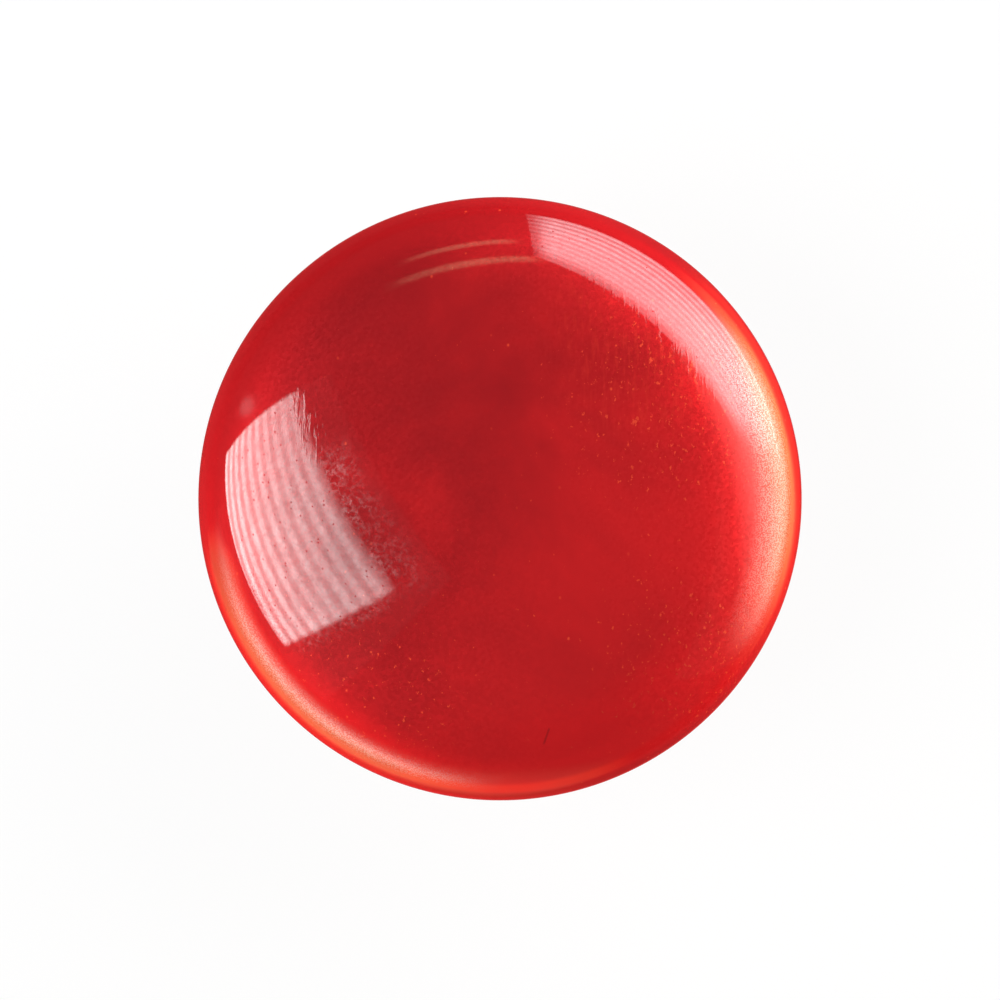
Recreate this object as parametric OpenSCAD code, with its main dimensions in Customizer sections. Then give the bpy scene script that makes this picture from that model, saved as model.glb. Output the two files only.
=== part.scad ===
// Domed shank button: a polished cap and its drilled shank, moulded in one piece.
// The shank's end lies on Z = 0, the dome faces up and the thread eye runs along Y.

/* [Cap] */
// Diameter of the cap at its widest line
cap_d = 15; // [12:0.5:23]
// Rise of the dome above the widest line
dome_h = 2.3; // [1.5:0.1:4]
// Drop of the flat back below the widest line
back_h = 1.3; // [0.8:0.1:2.2]
// Diameter of the flat back
back_d = 11; // [8.5:0.1:11.8]

/* [Shank] */
// Diameter of the round shank
shank_d = 6; // [5:0.1:8]
// Thickness of the shank across its two flats
shank_t = 4.2; // [3:0.1:5.2]
// Height of the shank below the flat back
shank_h = 3.8; // [3.7:0.1:6]
// Radius of the fillet between the shank and the back
root_r = 0.5; // [0.2:0.1:0.6]
// Radius of the rounded edge at the shank's end
foot_r = 0.4; // [0.2:0.1:0.6]

/* [Thread eye] */
// Diameter of the thread eye
eye_d = 2; // [1.2:0.1:2.1]
// Thickness of the bridge between the eye and the shank's end
bridge_t = 0.9; // [0.7:0.1:1]
// Depth of the chamfer at each mouth of the eye
mouth_c = 0.25; // [0.1:0.05:0.4]

/* [Hidden] */

// Facets on a full turn
$fn = 180;
// Overrun of each cut, and how far the shank reaches into the cap
overrun = 0.4;

cap_r = cap_d / 2;
// Height of the widest line
girdle_z = shank_h + back_h;
// Half height of the ellipse that rolls the under-edge in to the flat back
under_h = back_h / sqrt(1 - pow(back_d / cap_d, 2));
eye_r = eye_d / 2;
eye_z = bridge_t + eye_r;

// Quarter ellipse above and right of the origin
module quarter_ellipse(across, up) {
    intersection() {
        scale([1, up / across])
            circle(r = across);
        square([across + overrun, up + overrun]);
    }
}

// Half section of the cap, drawn about the widest line
module cap_section() {
    quarter_ellipse(cap_r, dome_h);
    intersection() {
        mirror([0, 1])
            quarter_ellipse(cap_r, under_h);
        translate([0, -back_h])
            square([cap_r + overrun, back_h + overrun]);
    }
}

// Half section of the shank: rounded at its end and flared where it joins the back
module shank_section(half) {
    translate([0, foot_r])
        square([half, shank_h + overrun - foot_r]);
    square([half - foot_r, shank_h]);
    translate([half - foot_r, foot_r])
        circle(r = foot_r);
    difference() {
        translate([0, shank_h - root_r])
            square([half + root_r, root_r + overrun]);
        translate([half + root_r, shank_h - root_r])
            circle(r = root_r);
    }
}

// Round shank with two flats, both flared and rounded alike
module shank() {
    flat_l = shank_d + 2 * (root_r + overrun);
    intersection() {
        rotate_extrude()
            shank_section(shank_d / 2);
        rotate([90, 0, 90])
            linear_extrude(flat_l, center = true) {
                shank_section(shank_t / 2);
                mirror([1, 0])
                    shank_section(shank_t / 2);
            }
    }
}

// Thread eye through both flats, with a chamfered mouth at each end
module eye() {
    translate([0, 0, eye_z])
        rotate([90, 0, 0]) {
            cylinder(r = eye_r, h = shank_t + 2 * overrun, center = true);
            for (side = [0, 1])
                mirror([0, 0, side])
                    translate([0, 0, shank_t / 2 - mouth_c])
                        cylinder(r1 = eye_r, r2 = eye_r + mouth_c + overrun, h = mouth_c + overrun);
        }
}

module button() {
    color("firebrick")
        difference() {
            union() {
                translate([0, 0, girdle_z])
                    rotate_extrude()
                        cap_section();
                shank();
            }
            eye();
        }
}

button();
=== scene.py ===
"""A domed shank button in red pearl resin, seen straight from the front on a white floor."""

import math
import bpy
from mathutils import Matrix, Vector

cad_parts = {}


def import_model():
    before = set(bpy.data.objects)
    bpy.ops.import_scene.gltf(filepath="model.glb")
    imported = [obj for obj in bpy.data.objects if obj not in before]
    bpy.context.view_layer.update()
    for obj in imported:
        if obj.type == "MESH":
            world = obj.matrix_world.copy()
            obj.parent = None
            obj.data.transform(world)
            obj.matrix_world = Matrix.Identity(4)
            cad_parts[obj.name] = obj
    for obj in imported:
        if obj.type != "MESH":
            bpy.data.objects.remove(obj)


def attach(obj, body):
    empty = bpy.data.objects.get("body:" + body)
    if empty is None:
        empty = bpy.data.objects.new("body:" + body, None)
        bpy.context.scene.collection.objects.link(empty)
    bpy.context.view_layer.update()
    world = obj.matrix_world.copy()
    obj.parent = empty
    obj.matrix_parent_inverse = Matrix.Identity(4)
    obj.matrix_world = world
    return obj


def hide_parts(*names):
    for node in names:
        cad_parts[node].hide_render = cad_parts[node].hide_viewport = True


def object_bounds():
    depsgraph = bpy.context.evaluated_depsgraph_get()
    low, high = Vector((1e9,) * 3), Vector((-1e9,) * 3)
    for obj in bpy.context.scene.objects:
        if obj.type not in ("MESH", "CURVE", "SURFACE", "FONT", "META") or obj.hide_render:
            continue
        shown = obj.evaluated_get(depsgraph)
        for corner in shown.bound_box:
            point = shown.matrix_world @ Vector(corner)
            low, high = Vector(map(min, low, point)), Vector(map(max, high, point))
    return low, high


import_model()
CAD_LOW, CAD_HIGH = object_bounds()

from types import SimpleNamespace

import bmesh
import bpy
from mathutils import Euler, Vector

# Sizes in metres. The box gives the overall ones, and the rest are the solid's own.
CAP_R = CAD_HIGH.x
TOP_Z = CAD_HIGH.z
DOME_H = 0.0023
BACK_H = 0.0013
BACK_R = 0.0055
SHANK_R = 0.003
FLAT_Y = 0.0021
ROOT_R = 0.0005
FOOT_R = 0.0004
EYE_R = 0.001
BRIDGE_T = 0.0009
MOUTH_C = 0.00025
OVERRUN = 0.0004

GIRDLE_Z = TOP_Z - DOME_H
SHANK_H = GIRDLE_Z - BACK_H
UNDER_H = BACK_H / math.sqrt(1 - (BACK_R / CAP_R) ** 2)
EYE_Z = BRIDGE_T + EYE_R

# How finely the surface is divided, and the angle in degrees from which an edge is sharp.
ROUND_STEPS = 256
DOME_STEPS = 110
UNDER_STEPS = 30
FILLET_STEPS = 10
WALL_STEPS = 8
EYE_STEPS = 96
SHARP_ANGLE = 30

# The photograph's frame and the button's place in it, in pixels, and the camera.
FRAME_PX = 1000
BUTTON_R_PX = 301.7
LIFT_PX = 1.3
LENS_MM = 135
SENSOR_MM = 36

# Radiance of the grey room round the lamps.
ROOM_LEVEL = 0.06

# The white floor: half its side in metres, its own colour, and the share of it that glows.
FLOOR_HALF = 1.0
FLOOR_GREY = (0.85, 0.85, 0.85, 1)
FLOOR_GLOW = 0.92

# How far the cards, the strips and the spot stand from the button, in metres.
LAMP_AWAY = 0.15

# Pearl: its lean as a share of the dome's own, its flakes' own lean, its satin share and its roughness.
MIDDLE_LEAN = 0.4
RIM_LEAN = 0.49
FLAKE_LEAN = (0.1, 0.1, 0.0)
PEARL = 0.85
BODY_ROUGH = 0.55
RIM_ROUGH = 0.28
BRINK_ROUGH = 0.7

# The clear resin over it.
RESIN_IOR = 1.75
COAT_ROUGH = 0.03
GLOW_TINT = (0.42, 0.3, 0.06, 1.0)
SCRATCH_DEPTH = 0.0000013

# Reds of the body, of the border round it, and of the brink, which is the last of the rim. Their darker and
# lighter reds, set by azimuth, are painted shade and painted light; the body's also vary with clouds, and the
# brink's warm red is a painted glow.
BODY_DARK = (0.40, 0.0036, 0.0130, 1)
BODY_LIGHT = (0.76, 0.0110, 0.0195, 1)
BORDER_DARK = (0.54, 0.0050, 0.0150, 1)
BORDER_LIGHT = (0.78, 0.0085, 0.0180, 1)
BRINK = (0.57, 0.0050, 0.0150, 1)
BRINK_DARK = (0.42, 0.0045, 0.0140, 1)
BRINK_LIGHT = (0.85, 0.0065, 0.0180, 1)
BRINK_LOW = (0.65, 0.0055, 0.0155, 1)
BRINK_PAINTED_GLOW = (0.74, 0.0220, 0.0200, 1)

# Reds laid over those: painted light as a lighter red inside the rim, a painted glint as a warm arc, and
# painted shade as a dark red where the rim glows and under the left highlight.
PAINTED_LIFT = (0.96, 0.0110, 0.0210, 1)
PAINTED_GLINT = (0.98, 0.0260, 0.0220, 1)
PAINTED_SHADE_RED = (0.20, 0.0030, 0.0090, 1)

# Colours of the fine marks. The pale sparkle in the rim's glow and the light red of the hairlines are painted
# glints.
PAINTED_SPARKLE = (0.85, 0.36, 0.36, 1)
SPECK = (0.88, 0.070, 0.035, 1)
PAINTED_HAIRLINE_GLINT = (0.78, 0.030, 0.025, 1)
HAIR = (0.13, 0.0030, 0.0080, 1)

# Scales of the patterns, in cells or waves to the cap's radius.
CLOUD_SCALE = 1.6
FLAKE_SCALE = 115.0
GRAIN_SCALE = 240.0
FLECK_SCALE = 62.0
SPECK_SCALE = 36.0
PINHOLE_SCALE = 56.0
WAVE_SCALE = 26.0
LINE_SCALES = (70.0, 13.0, 13.0)

# Round patches of the dome: x, y and radius as shares of the cap's radius.
# Painted shade on the body toward the upper right.
PAINTED_SHADE_PATCH = (0.44, 0.60, 0.36)
DARK_SPOT = (-0.42, -0.12, 0.2)
# Painted shade under the left highlight.
PAINTED_SHADE_UNDER = (-0.72, -0.24, 0.44)
LINE_PATCH = (0.48, 0.52, 0.42)
WORN_PATCH = (-0.60, 0.28, 0.2)
FLECK_RIGHT = (0.52, 0.30, 0.5)
FLECK_LOW_LEFT = (-0.42, -0.68, 0.42)
FLECK_LOW_RIGHT = (0.6, -0.52, 0.4)
HAIR_PLACE = (0.152, -0.775, 0.0)
HAIR_TURN = 71.3

# Azimuths on the dome in degrees, counter-clockwise from the right. The body is painted lighter toward the
# light side, and most of the others place painted light, shade, glow and glints round the rim.
LIGHT_SIDE = -15.7
GLOW_RIGHT = 8.0
GLOW_WIDEST = -9.8
GLOW_LOW = 245.2
GLOW_LEFT = 222.0
SPARKLE_RIGHT = 2.9
SPARKLE_LEFT = 230.0
PAINTED_SHADE_RIGHT = 9.8
PAINTED_SHADE_LEFT = 230.3
BORDER_BOTTOM = 264.3
BORDER_RIGHT = -50.3
BORDER_EARLY = -70.1
BRINK_SOONER = 40.0
BRINK_UPPER = 26.1
BRINK_BOTTOM = 255.0
BRINK_RIGHT = -45.0
PAINTED_LIFT_AT = -63.0
PAINTED_GLINT_AT = -88.0


class Nodes:
    """Short calls for adding and joining the nodes of one tree."""

    def __init__(self, tree):
        self.tree = tree
        tree.nodes.clear()

    def add(self, kind, settings=None, **inputs):
        """A node, with its inputs set to numbers or joined to sockets. An underscore stands for a space."""
        node = self.tree.nodes.new("ShaderNode" + kind)
        for key, value in (settings or {}).items():
            setattr(node, key, value)
        for key, value in inputs.items():
            self.put(node.inputs[key.replace("_", " ")], value)
        return node

    def put(self, socket, value):
        if isinstance(value, bpy.types.NodeSocket):
            self.tree.links.new(value, socket)
        else:
            socket.default_value = value

    def fill(self, node, values):
        """Sets a node's first inputs, in their order."""
        for socket, value in zip(node.inputs, values):
            self.put(socket, value)
        return node

    def math(self, operation, *values, clamp=False):
        node = self.add("Math", {"operation": operation, "use_clamp": clamp})
        return self.fill(node, values).outputs[0]

    def times(self, first, *others):
        """The product of all the values."""
        for value in others:
            first = self.math("MULTIPLY", first, value)
        return first

    def plus(self, value, weight, base):
        """The base with a weighted value added to it."""
        return self.math("MULTIPLY_ADD", value, weight, base)

    def most(self, a, b):
        return self.math("MAXIMUM", a, b)

    def off_middle(self, value):
        """How far a value lies from a half, either way."""
        return self.math("ABSOLUTE", self.math("SUBTRACT", value, 0.5))

    def vector(self, operation, *values):
        """A vector made from vectors."""
        node = self.add("VectorMath", {"operation": operation})
        return self.fill(node, values).outputs["Vector"]

    def measure(self, operation, *values):
        """A number made from vectors."""
        node = self.add("VectorMath", {"operation": operation})
        return self.fill(node, values).outputs["Value"]

    def scale(self, vector, factor):
        node = self.add("VectorMath", {"operation": "SCALE"}, Vector=vector, Scale=factor)
        return node.outputs["Vector"]

    def turn_normal(self, normal, start, end):
        """A normal taken from one space to another."""
        spaces = {"vector_type": "NORMAL", "convert_from": start, "convert_to": end}
        return self.add("VectorTransform", spaces, Vector=normal).outputs[0]

    def ramp(self, value, low, high, at_low=0.0, at_high=1.0, smooth=True):
        """at_low where value is low or less, at_high where it is high or more, and a ramp between."""
        kind = "SMOOTHSTEP" if smooth else "LINEAR"
        node = self.add("MapRange", {"interpolation_type": kind, "clamp": True}, Value=value)
        for name, number in (("From Min", low), ("From Max", high), ("To Min", at_low), ("To Max", at_high)):
            self.put(node.inputs[name], number)
        return node.outputs[0]

    def mix(self, factor, a, b):
        node = self.add("Mix", {"data_type": "RGBA"})
        self.put(node.inputs[0], factor)
        self.put(node.inputs[6], a)
        self.put(node.inputs[7], b)
        return node.outputs[2]

    def noise(self, place, scale, detail=2.0, roughness=0.5, distortion=0.0):
        node = self.add("TexNoise", Vector=place, Scale=scale, Detail=detail, Roughness=roughness)
        self.put(node.inputs["Distortion"], distortion)
        return node.outputs[0]

    def cells(self, place, scale):
        """Distance from the middle of the nearest cell, and that cell's own random colour."""
        node = self.add("TexVoronoi", Vector=place, Scale=scale)
        return node.outputs["Distance"], node.outputs["Color"]


def add_object(name, data):
    obj = bpy.data.objects.new(name, data)
    bpy.context.scene.collection.objects.link(obj)
    return obj


def add_mesh(name, bm):
    """An object from a finished mesh, with its faces turned outward."""
    bmesh.ops.recalc_face_normals(bm, faces=bm.faces)
    mesh = bpy.data.meshes.new(name)
    bm.to_mesh(mesh)
    bm.free()
    return add_object(name, mesh)


def join_loops(bm, loops):
    """Faces between each closed loop of points and the next."""
    for a, b in zip(loops, loops[1:]):
        for i in range(len(a)):
            j = (i + 1) % len(a)
            bm.faces.new((a[i], b[i], b[j], a[j]))


def outline():
    """The button's rings from the middle of the dome to the shank's end: height, radius, half thickness."""
    rings = []
    for i in range(1, DOME_STEPS + 1):
        t = math.pi / 2 * (1 - i / DOME_STEPS)
        rings.append((GIRDLE_Z + DOME_H * math.sin(t), CAP_R * math.cos(t), None))
    last = math.asin(BACK_H / UNDER_H)
    for i in range(1, UNDER_STEPS + 1):
        t = last * i / UNDER_STEPS
        rings.append((GIRDLE_Z - UNDER_H * math.sin(t), CAP_R * math.cos(t), None))
    for i in range(FILLET_STEPS + 1):
        a = math.pi / 2 * i / FILLET_STEPS
        out = ROOT_R * (1 - math.sin(a))
        rings.append((SHANK_H - ROOT_R * (1 - math.cos(a)), SHANK_R + out, FLAT_Y + out))
    for i in range(1, WALL_STEPS):
        z = SHANK_H - ROOT_R + (FOOT_R + ROOT_R - SHANK_H) * i / WALL_STEPS
        rings.append((z, SHANK_R, FLAT_Y))
    for i in range(FILLET_STEPS + 1):
        a = math.pi / 2 * i / FILLET_STEPS
        inward = FOOT_R * (1 - math.cos(a))
        rings.append((FOOT_R * (1 - math.sin(a)), SHANK_R - inward, FLAT_Y - inward))
    return rings


def ring_point(i, radius, flat):
    """Point i of a ring: on a circle, or on a circle with two flats that face along Y."""
    quarter = ROUND_STEPS // 4
    turn, step = divmod(i, quarter)
    share = step / quarter
    if turn % 2:
        share = 1 - share
    if flat is None:
        angle = share * math.pi / 2
        x, y = radius * math.cos(angle), radius * math.sin(angle)
    else:
        corner = math.asin(flat / radius)
        if share <= 0.5:
            angle = corner * share * 2
            x, y = radius * math.cos(angle), radius * math.sin(angle)
        else:
            x, y = radius * math.cos(corner) * (2 - share * 2), flat
    return x * (1, -1, -1, 1)[turn], y * (1, 1, -1, -1)[turn]


def eye_cutter():
    """The thread eye as a solid: a round bar along Y that widens at both mouths of the eye."""
    half = FLAT_Y + OVERRUN
    wide = EYE_R + MOUTH_C + OVERRUN
    bar = [(-half, wide), (MOUTH_C - FLAT_Y, EYE_R), (FLAT_Y - MOUTH_C, EYE_R), (half, wide)]
    turns = [2 * math.pi * i / EYE_STEPS for i in range(EYE_STEPS)]
    bm = bmesh.new()
    loops = []
    for y, radius in bar:
        loops.append([bm.verts.new((radius * math.cos(a), y, EYE_Z + radius * math.sin(a))) for a in turns])
    join_loops(bm, loops)
    bm.faces.new(loops[0])
    bm.faces.new(loops[-1][::-1])
    return add_mesh("eye_cutter", bm)


def cut_eye(obj):
    """Cuts the thread eye through the shank."""
    cutter = eye_cutter()
    cut = obj.modifiers.new("eye", "BOOLEAN")
    cut.object = cutter
    cut.solver = "EXACT"
    bpy.context.view_layer.update()
    shown = obj.evaluated_get(bpy.context.evaluated_depsgraph_get())
    mesh = bpy.data.meshes.new_from_object(shown)
    obj.modifiers.clear()
    obj.data = mesh
    bpy.data.objects.remove(cutter)


def button():
    """The whole button in one mesh: the dome, the back and the shank with its eye."""
    bm = bmesh.new()
    top = bm.verts.new((0, 0, TOP_Z))
    loops = []
    for z, radius, flat in outline():
        loops.append([bm.verts.new((*ring_point(i, radius, flat), z)) for i in range(ROUND_STEPS)])
    for i in range(ROUND_STEPS):
        bm.faces.new((top, loops[0][i], loops[0][(i + 1) % ROUND_STEPS]))
    join_loops(bm, loops)
    bm.faces.new(loops[-1][::-1])
    obj = add_mesh("button", bm)
    cut_eye(obj)
    obj.data.shade_smooth()
    obj.data.set_sharp_from_angle(angle=math.radians(SHARP_ANGLE))
    return obj


def toward(azimuth):
    """The direction of an azimuth, across the dome."""
    angle = math.radians(azimuth)
    return math.cos(angle), math.sin(angle), 0.0


def along(n, place, azimuth):
    """How far a place lies along an azimuth."""
    return n.measure("DOT_PRODUCT", place, toward(azimuth))


def sector(n, dome, azimuth, low, high, at_low=0.0, at_high=1.0, smooth=True):
    """A ramp round the dome toward an azimuth. low and high are cosines of the angle from it."""
    return n.ramp(along(n, dome.way, azimuth), low, high, at_low, at_high, smooth)


def round_patch(n, dome, patch):
    """1 in the middle of a round patch of the dome, fading to 0 at its radius."""
    x, y, radius = patch
    gap = n.measure("DISTANCE", dome.flat, (x, y, 0.0))
    return n.ramp(gap, radius * 0.4, radius, 1.0, 0.0)


def dome_map(n):
    """Sockets that say where a point lies on the button, in shares of the cap's radius."""
    dome = SimpleNamespace()
    dome.place = n.scale(n.add("TexCoord").outputs["Object"], 1 / CAP_R)
    dome.flat = n.vector("MULTIPLY", dome.place, (1.0, 1.0, 0.0))
    dome.out = n.measure("LENGTH", dome.flat)
    dome.way = n.vector("NORMALIZE", dome.flat)
    dome.side = along(n, dome.flat, LIGHT_SIDE)

    # The true normal in the button's own directions, and how far a place belongs to the dome.
    dome.normal = n.turn_normal(n.add("NewGeometry").outputs["Normal"], "WORLD", "OBJECT")
    dome.upward = n.add("SeparateXYZ", Vector=dome.normal).outputs["Z"]
    dome.front = n.ramp(dome.upward, 0.2, 0.45)
    return dome


def rim_map(n, dome):
    """Adds to the map where the rim has its brink, where it is clear and glows, and where its painted sparkle
    lies.
    """
    sooner = sector(n, dome, BRINK_SOONER, 0.65, 1.0, 0.0, 0.01)
    dome.brink = n.times(n.ramp(n.math("ADD", dome.out, sooner), 0.966, 0.986), dome.front)
    dome.low_glow = n.most(sector(n, dome, GLOW_LOW, 0.6, 0.9), sector(n, dome, GLOW_LEFT, 0.79, 0.9))
    dome.glow = n.most(sector(n, dome, GLOW_RIGHT, 0.68, 0.93), dome.low_glow)
    wide = n.most(sector(n, dome, GLOW_WIDEST, 0.6, 0.95), n.times(dome.low_glow, 0.4))
    clear = n.ramp(dome.out, n.plus(wide, -0.11, 0.92), 0.946)
    dome.edge = n.times(clear, dome.glow, dome.front)
    dome.clearest = n.math("SUBTRACT", dome.edge, dome.brink, clamp=True)
    dome.sandy = n.most(sector(n, dome, SPARKLE_LEFT, 0.74, 0.92), sector(n, dome, SPARKLE_RIGHT, 0.78, 0.97))


def mark_map(n, dome):
    """Adds to the map the fine grain, the upright hairlines, and the patch where most of those lie."""
    dome.grain = n.noise(dome.place, GRAIN_SCALE, 0.0)
    upright = n.vector("MULTIPLY", dome.place, LINE_SCALES)
    dome.line = n.ramp(n.noise(upright, 1.0, 2.0, 0.5), 0.45, 0.75)
    inside = n.ramp(dome.out, 0.74, 0.83, 1.0, 0.0)
    dome.lined = n.times(round_patch(n, dome, LINE_PATCH), inside)


def pearl_normal(n, dome):
    """The pearl's normal: it lies flatter than the dome, and is made of small flakes that lean all ways."""
    flakes = n.vector("SUBTRACT", n.cells(dome.place, FLAKE_SCALE)[1], (0.5, 0.5, 0.5))
    jitter = n.scale(n.vector("MULTIPLY", flakes, FLAKE_LEAN), n.plus(dome.edge, -0.8, 1.0))
    rim = n.ramp(dome.out, 0.934, 0.99, 0.0, 1 - RIM_LEAN, smooth=False)
    lean = n.math("SUBTRACT", n.ramp(dome.out, 0.55, 0.9, MIDDLE_LEAN, 1.0), rim)
    lean = n.add("CombineXYZ", X=lean, Y=lean, Z=1.0).outputs[0]
    lining = n.vector("NORMALIZE", n.vector("MULTIPLY", dome.normal, lean))
    lining = n.mix(dome.front, dome.normal, n.vector("ADD", lining, jitter))
    return n.turn_normal(n.vector("NORMALIZE", lining), "OBJECT", "WORLD")


def red_body(n, dome):
    """The red: painted light to one side and painted shade to the other, with soft clouds, a patch of painted
    shade and a darker spot.
    """
    clouds = n.noise(dome.place, CLOUD_SCALE, 4.0, 0.55, 0.4)
    shade = n.plus(n.math("SUBTRACT", clouds, 0.5), 2.2, dome.side)
    shade = n.plus(round_patch(n, dome, PAINTED_SHADE_PATCH), -0.5, shade)
    shade = n.plus(round_patch(n, dome, DARK_SPOT), -0.4, shade)
    return n.mix(n.ramp(shade, -0.8, 0.8), BODY_DARK, BODY_LIGHT)


def red_border(n, dome, body):
    """The red of the border and the brink, laid round the body's, with painted light and shade by azimuth and
    a painted glow on the brink where the rim glows.
    """
    bottom = sector(n, dome, BORDER_BOTTOM, 0.0, 1.0, smooth=False)
    lower = n.most(bottom, sector(n, dome, BORDER_RIGHT, 0.5, 0.95, 0.0, 0.8))
    border = n.mix(lower, BORDER_DARK, BORDER_LIGHT)
    last = n.mix(sector(n, dome, BRINK_UPPER, 0.6, 0.95), BRINK, BRINK_DARK)
    last = n.mix(sector(n, dome, BRINK_BOTTOM, 0.5, 1.0), last, BRINK_LIGHT)
    last = n.mix(sector(n, dome, BRINK_RIGHT, 0.8, 0.97), last, BRINK_LOW)
    last = n.mix(n.times(dome.glow, n.ramp(dome.out, 0.98, 0.993, 1.0, 0.3)), last, BRINK_PAINTED_GLOW)
    early = n.times(n.ramp(dome.out, 0.62, 0.88), sector(n, dome, BORDER_EARLY, 0.6, 0.95))
    outer = n.most(n.ramp(dome.out, 0.76, 0.9), early)
    return n.mix(outer, body, n.mix(dome.brink, border, last))


def painted_rim_light(n, dome, body):
    """Painted light: a lighter red inside the rim at the lower right; and a painted glint: a faint warm arc
    at the bottom of the rim.
    """
    lift = n.times(n.ramp(dome.out, 0.66, 0.82), n.ramp(dome.out, 0.84, 0.92, 0.75, 0.0))
    lift = n.times(lift, sector(n, dome, PAINTED_LIFT_AT, 0.85, 0.98), dome.front)
    body = n.mix(lift, body, PAINTED_LIFT)
    glint = n.times(n.ramp(dome.out, 0.932, 0.95), n.ramp(dome.out, 0.962, 0.978, 0.85, 0.0))
    glint = n.times(glint, sector(n, dome, PAINTED_GLINT_AT, 0.89, 0.97), dome.front)
    return n.mix(glint, body, PAINTED_GLINT)


def painted_shade_in_glow(n, dome, body):
    """Painted shade: the red is darker where the rim glows."""
    right = n.times(n.ramp(along(n, dome.flat, PAINTED_SHADE_RIGHT), 0.8, 0.92), n.ramp(dome.out, 0.8, 0.88))
    left = n.ramp(along(n, dome.flat, PAINTED_SHADE_LEFT), 0.86, 0.93, 0.0, 0.4)
    dimmed = n.times(n.most(right, left), n.ramp(dome.out, 0.94, 0.965, 0.6, 0.0))
    return n.mix(dimmed, body, PAINTED_SHADE_RED)


def painted_sparkle_and_shade(n, dome, body):
    """Painted sparkle: pale grains where the rim glows most; and painted shade: a darker red under the left
    highlight.
    """
    inward = n.plus(dome.low_glow, -0.06, dome.out)
    band = n.times(n.ramp(inward, 0.82, 0.875), n.ramp(dome.out, 0.95, 0.965, 1.0, 0.0))
    sand = n.times(n.ramp(dome.grain, 0.4, 0.62, 0.0, 0.22), band, dome.sandy, dome.front)
    body = n.mix(sand, body, PAINTED_SPARKLE)
    shaded = n.times(round_patch(n, dome, PAINTED_SHADE_UNDER), n.ramp(dome.out, 0.86, 0.92, 0.4, 0.0))
    return n.mix(shaded, body, PAINTED_SHADE_RED)


def hairlines(n, dome, body):
    """Upright hairlines beside the right highlight, their caught light painted as lighter red streaks, and
    one dark hair in the resin.
    """
    body = n.mix(n.times(dome.line, dome.lined, 0.4), body, PAINTED_HAIRLINE_GLINT)
    offset = n.vector("SUBTRACT", dome.flat, HAIR_PLACE)
    aside = n.math("ABSOLUTE", along(n, offset, HAIR_TURN - 90))
    down = n.math("ABSOLUTE", along(n, offset, HAIR_TURN))
    hair = n.times(n.ramp(aside, 0.0015, 0.005, 0.36, 0.0), n.ramp(down, 0.020, 0.034, 1.0, 0.0))
    return n.mix(hair, body, HAIR)


def flecks(n, dome, body):
    """Irregular pearl flecks, more to the light side and in three clusters, and a few round specks."""
    low = n.most(round_patch(n, dome, FLECK_LOW_LEFT), round_patch(n, dome, FLECK_LOW_RIGHT))
    tall_place = n.vector("MULTIPLY", dome.place, (1.0, 0.75, 1.0))
    often = n.plus(dome.side, 0.03, n.noise(tall_place, FLECK_SCALE, 2.0, 0.7))
    often = n.plus(round_patch(n, dome, FLECK_RIGHT), 0.08, often)
    often = n.plus(low, 0.075, often)
    body = n.mix(n.ramp(often, 0.70, 0.81, 0.0, 0.9), body, SPECK)
    far, colour = n.cells(n.vector("MULTIPLY", dome.place, (1.0, 0.8, 1.0)), SPECK_SCALE)
    chance = n.add("SeparateColor", Color=colour)
    chosen = n.math("GREATER_THAN", chance.outputs[0], n.plus(dome.side, -0.02, 0.94))
    speck = n.times(chosen, n.ramp(far, 0.04, 0.23, 1.0, 0.0), chance.outputs[2])
    return n.mix(speck, body, SPECK)


def polish(n, dome):
    """The weight of the clear coat: worn off the rim, slightly grainy, and broken by pinholes."""
    far, colour = n.cells(dome.place, PINHOLE_SCALE)
    chance = n.add("SeparateColor", Color=colour).outputs[0]
    few = n.plus(n.math("GREATER_THAN", dome.side, 0.0), 0.3, 0.65)
    hole = n.times(n.math("LESS_THAN", far, 0.16), n.math("GREATER_THAN", chance, few), dome.front, 0.8)
    last = n.ramp(dome.out, 0.957, 0.974, 0.0, 0.045)
    worn = n.math("SUBTRACT", n.ramp(dome.out, 0.925, 0.955, 0.0, 0.985), last)
    worn = n.times(worn, n.ramp(dome.upward, 0.0, 0.25))
    sandy = n.times(dome.sandy, dome.front, n.ramp(dome.out, 0.78, 0.88, 0.0, 0.45))
    grain = n.ramp(dome.grain, 0.36, 0.64, -0.9, 0.4, smooth=False)
    grain = n.plus(n.math("ADD", sandy, 0.12), grain, 0.92)
    return n.math("SUBTRACT", n.times(n.math("SUBTRACT", 1.0, worn), grain), hole, clamp=True)


def scratches(n, dome):
    """The clear coat's normal: upright hairlines in two worn patches, and a faint waviness to the left."""
    worn = n.most(dome.lined, round_patch(n, dome, WORN_PATCH))
    wave = n.times(n.noise(dome.place, WAVE_SCALE, 2.0, 0.6), n.ramp(dome.side, -0.1, 0.0, 0.35, 0.0))
    height = n.plus(dome.line, worn, wave)
    return n.add("Bump", Strength=1.0, Distance=SCRATCH_DEPTH, Height=height).outputs[0]


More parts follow.
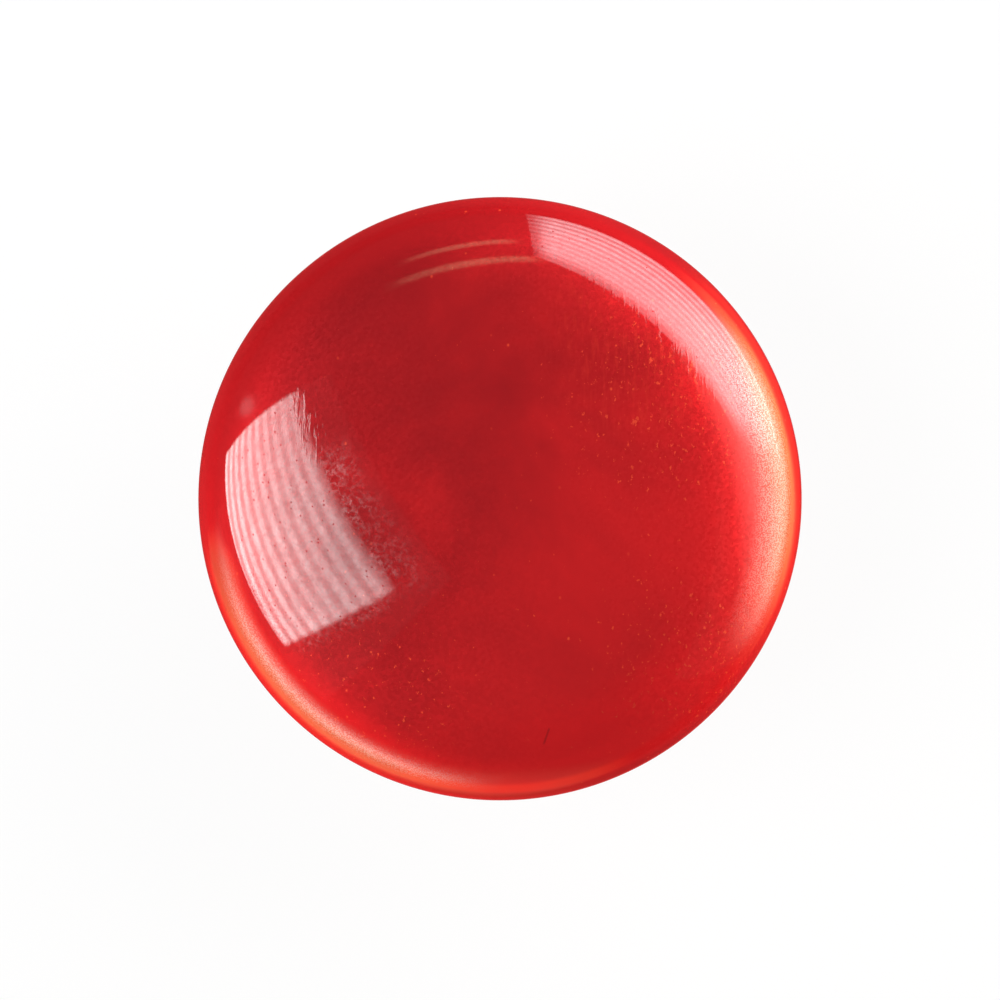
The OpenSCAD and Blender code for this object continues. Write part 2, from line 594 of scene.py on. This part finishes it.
def pearl_resin():
    """Polished clear resin over a red pearl that lies in it like the lining of a bowl."""
    material = bpy.data.materials.new("pearl_resin")
    material.use_nodes = True
    n = Nodes(material.node_tree)
    dome = dome_map(n)
    rim_map(n, dome)
    mark_map(n, dome)

    colour = red_body(n, dome)
    for layer in (red_border, painted_rim_light, painted_shade_in_glow, painted_sparkle_and_shade, hairlines, flecks):
        colour = layer(n, dome, colour)
    metal = n.times(n.math("SUBTRACT", 1.0, dome.clearest), PEARL)
    rough = n.ramp(dome.out, 0.84, 0.93, BODY_ROUGH, BRINK_ROUGH)
    rough = n.plus(dome.clearest, n.math("SUBTRACT", RIM_ROUGH, rough), rough)

    shader = n.add("BsdfPrincipled", Base_Color=colour, Metallic=metal, Roughness=rough)
    n.put(shader.inputs["Normal"], pearl_normal(n, dome))
    n.put(shader.inputs["Coat Weight"], polish(n, dome))
    n.put(shader.inputs["Coat Normal"], scratches(n, dome))
    n.put(shader.inputs["Coat Roughness"], COAT_ROUGH)
    n.put(shader.inputs["Coat IOR"], RESIN_IOR)
    n.put(shader.inputs["IOR"], RESIN_IOR)
    n.put(shader.inputs["Specular IOR Level"], 1.0)
    n.put(shader.inputs["Specular Tint"], GLOW_TINT)
    n.add("OutputMaterial", Surface=shader.outputs[0])
    return material


def degrees(*angles):
    return Euler([math.radians(a) for a in angles])


def area_lamp(name, place, turn, width, height):
    """A rectangular lamp whose radiance its nodes give. Returns its nodes and its coordinates, 0 to 1."""
    lamp = bpy.data.lights.new(name, "AREA")
    lamp.shape = "RECTANGLE"
    lamp.size = width
    lamp.size_y = height
    lamp.energy = math.pi * width * height
    lamp.use_nodes = True
    obj = add_object(name, lamp)
    obj.location = place
    obj.rotation_euler = turn
    n = Nodes(lamp.node_tree)
    spot = n.add("SeparateXYZ", Vector=n.add("NewGeometry").outputs["Parametric"])
    return n, spot.outputs["X"], spot.outputs["Y"]


def facing_lamp(name, azimuth, elevation, wide, tall, roll=0.0):
    """A lamp that faces the button from an azimuth and elevation, with half its angles wide and tall."""
    high = math.radians(elevation)
    a = math.radians(azimuth)
    arm = Vector((math.cos(high) * math.cos(a), math.cos(high) * math.sin(a), math.sin(high))) * LAMP_AWAY
    turn = (arm.to_track_quat("Z", "Y") @ degrees(0, 0, roll).to_quaternion()).to_euler()
    width = 2 * LAMP_AWAY * math.tan(math.radians(wide))
    height = 2 * LAMP_AWAY * math.tan(math.radians(tall))
    return area_lamp(name, arm + Vector((0, 0, GIRDLE_Z)), turn, width, height)


def shine(n, *factors, colour=(1, 1, 1)):
    """Joins the product of the factors to the lamp as its radiance, which is never less than the room's."""
    glow = n.most(n.times(*factors), ROOM_LEVEL)
    n.add("OutputLight", Surface=n.add("Emission", Color=(*colour, 1), Strength=glow).outputs[0])


def tubes(n, y, count, first, last):
    """Soft stripes, as from a row of tubes behind a screen, clearer at the first edge than at the last."""
    wave = n.math("PINGPONG", n.times(y, count), 0.5)
    depth = n.ramp(y, 0.1, 0.7, first, last)
    return n.plus(n.ramp(wave, 0.1, 0.4, -1.0, 1.0), depth, 1.0)


def uneven(n, x, y, more_x, more_y, swing):
    """Small unevenness of a lamp, about 1."""
    spot = n.add("CombineXYZ", X=n.times(x, more_x), Y=n.times(y, more_y)).outputs[0]
    return n.ramp(n.noise(spot, 1.0, 3.0, 0.6), 0.3, 0.7, 1 - swing, 1 + swing)


def left_tubes(n, x, y, down):
    """The left bank's own light: tubes inside four soft edges, brightest at the outer one."""
    level = n.ramp(y, 0.07, 1.0, 7.5, 3.8, smooth=False)
    level = n.times(level, n.ramp(x, 0.5, 0.85, 1.0, 0.86))
    ends = n.times(n.ramp(down, 0.845, 0.87, 1.0, 0.0), n.ramp(x, 0.0, 0.03))
    outer = n.ramp(n.plus(x, -0.1, y), 0.0, 0.015)
    inner = n.ramp(y, 0.93, 1.01, 1.0, 0.0)
    return n.times(level, ends, outer, inner, tubes(n, y, 10.5, 0.34, 0.2), uneven(n, x, y, 16.0, 10.0, 0.12))


def left_haze(n, x, y, down):
    """Wisps past the left bank's inner edge and its lower end."""
    spot = n.add("CombineXYZ", X=n.times(x, 34.0), Y=n.times(y, 17.0)).outputs[0]
    thread = n.off_middle(n.noise(spot, 1.0, 3.0, 0.65, 0.5))
    wisps = n.times(n.ramp(thread, 0.0, 0.045, 2.8, 0.0), n.ramp(n.noise(spot, 0.2), 0.35, 0.55, 0.3, 1.0))
    haze = n.times(n.ramp(y, 1.0, 1.29, 1.0, 0.0), n.ramp(x, 0.3, 0.45), n.ramp(y, 0.08, 0.3))
    haze = n.times(haze, n.ramp(down, 0.8, 0.87, 1.0, 0.5), n.ramp(down, 0.86, 0.93, 1.0, 0.0))
    return n.times(haze, n.math("ADD", wisps, 0.06))


def left_bank():
    """A bank of tubes, on a lamp that is larger than the bank by the room its haze takes."""
    wide, tall = 0.1336, 0.119
    more_wide, more_tall = 0.1, 0.3
    turn = degrees(60.4, -4.5, -54.4)
    shift = turn.to_matrix() @ Vector((wide * more_wide / 2, tall * more_tall / 2, 0))
    place = Vector((-0.1048, -0.0066, 0.1120)) + shift
    n, x, y = area_lamp("left_bank", place, turn, wide * (1 + more_wide), tall * (1 + more_tall))
    x = n.times(x, 1 + more_wide)
    y = n.times(y, 1 + more_tall)
    down = n.plus(y, -0.133, x)
    light = n.most(left_tubes(n, x, y, down), left_haze(n, x, y, down))
    shine(n, light, uneven(n, x, y, 60.0, 24.0, 0.15))


def right_bank():
    """A longer bank of tubes, dimmer toward its inner edge and its ends."""
    wide, tall = 0.210, 0.135
    turn = degrees(104.4, 5.2, 143.1)
    place = Vector((0.1002, 0.0813, 0.0907))
    n, x, y = area_lamp("right_bank", place, turn, wide, tall)
    level = n.times(n.ramp(y, 0.72, 1.0, 4.6, 1.5), n.ramp(y, 0.1, 0.3, 0.8, 1.0))
    ends = n.times(n.ramp(x, 0.02, 0.3), n.ramp(x, 0.93, 1.0, 1.0, 0.2))
    grain = uneven(n, x, y, 60.0, 22.0, 0.15)
    shine(n, level, ends, tubes(n, y, 11, 0.36, 0.15), grain, colour=(0.95, 0.96, 1))


def soft_card(name, azimuth, elevation, wide, tall, level, slant, colour):
    """A card, brightest at its foot, that fades to both sides and, at a slant, upward."""
    n, x, y = facing_lamp(name, azimuth, elevation, wide, tall)
    sides = n.ramp(n.off_middle(x), 0.1, 0.5, level, 0.0)
    rise = n.plus(n.math("SUBTRACT", 0.5, x), slant, y)
    foot = n.ramp(y, 0.0, 0.25, 1.4, 1.0)
    shine(n, sides, n.ramp(rise, 0.3, 0.97, 1.0, 0.0), foot, colour=colour)


def thin_strip(name, azimuth, elevation, wide):
    """A dim narrow grainy strip with soft edges, fading toward one end."""
    n, x, y = facing_lamp(name, azimuth, elevation, wide, tall=2.0, roll=4.0)
    soft = n.ramp(n.off_middle(y), 0.1, 0.5, 1.0, 0.0)
    ends = n.times(n.ramp(x, 0.0, 0.2), n.ramp(x, 0.85, 1.0, 1.0, 0.0))
    grain = uneven(n, x, y, 60.0, 4.0, 0.5)
    shine(n, soft, n.ramp(x, 0.5, 1.0, 1.2, 0.4), ends, grain, colour=(1, 0.8, 0.5))


def small_spot(name, azimuth, elevation, wide, tall, level):
    """A small dim lamp with a soft edge."""
    n, x, y = facing_lamp(name, azimuth, elevation, wide, tall)
    gap = n.measure("DISTANCE", n.add("CombineXYZ", X=x, Y=y).outputs[0], (0.5, 0.5, 0.0))
    shine(n, n.ramp(gap, 0.1, 0.5, level, 0.0))


def lamps():
    """The two banks that the dome mirrors, two cards for the rim's glow, and three faint lamps."""
    left_bank()
    right_bank()
    soft_card("right_card", azimuth=6.5, elevation=26.0, wide=42.0, tall=26.0,
              level=4.8, slant=0.6, colour=(1, 0.92, 0.78))
    soft_card("low_card", azimuth=226.0, elevation=12.5, wide=43.0, tall=12.5,
              level=3.8, slant=0.0, colour=(1, 0.95, 0.86))
    thin_strip("upper_strip", azimuth=99.0, elevation=35.0, wide=12.0)
    thin_strip("lower_strip", azimuth=98.0, elevation=44.0, wide=15.0)
    small_spot("left_spot", azimuth=160.0, elevation=25.0, wide=3.0, tall=9.0, level=0.8)


def white_floor():
    """Glows for what looks at it, and still takes the button's shadow."""
    material = bpy.data.materials.new("white_floor")
    material.use_nodes = True
    n = Nodes(material.node_tree)
    path = n.add("LightPath")
    seen = n.most(path.outputs["Is Camera Ray"], path.outputs["Is Glossy Ray"])
    seen = n.most(seen, path.outputs["Is Transmission Ray"])
    paper = n.add("BsdfDiffuse", Color=FLOOR_GREY)
    white = n.add("Emission", Color=(1, 1, 1, 1), Strength=1.0)
    mixed = n.fill(n.add("MixShader"), (n.times(seen, FLOOR_GLOW), paper.outputs[0], white.outputs[0]))
    n.add("OutputMaterial", Surface=mixed.outputs[0])
    return material


def floor():
    """A square floor at the shank's flat end."""
    half = FLOOR_HALF
    corners = [(-half, -half, 0), (half, -half, 0), (half, half, 0), (-half, half, 0)]
    mesh = bpy.data.meshes.new("floor")
    mesh.from_pydata(corners, [], [(0, 1, 2, 3)])
    mesh.materials.append(white_floor())
    obj = add_object("floor", mesh)


def camera():
    """Looks straight down on the dome, from where the button has its size in the photograph."""
    lens = bpy.data.cameras.new("camera")
    lens.lens = LENS_MM
    lens.sensor_width = SENSOR_MM
    lens.clip_start = CAP_R
    lens.shift_y = -LIFT_PX / FRAME_PX
    away = CAP_R * (FRAME_PX / BUTTON_R_PX) * LENS_MM / SENSOR_MM
    obj = add_object("camera", lens)
    obj.location = (0, 0, GIRDLE_Z + away)
    bpy.context.scene.camera = obj


def world():
    """An even grey room."""
    room = bpy.data.worlds.new("room")
    room.use_nodes = True
    n = Nodes(room.node_tree)
    grey = n.add("Background", Color=(1, 1, 1, 1), Strength=ROOM_LEVEL)
    n.add("OutputWorld", Surface=grey.outputs[0])
    bpy.context.scene.world = room


piece = button()
piece.data.materials.clear()
piece.data.materials.append(pearl_resin())
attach(piece, "root")
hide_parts("button")

floor()
camera()
world()
lamps()

scene = bpy.context.scene
scene.view_settings.view_transform = "Standard"
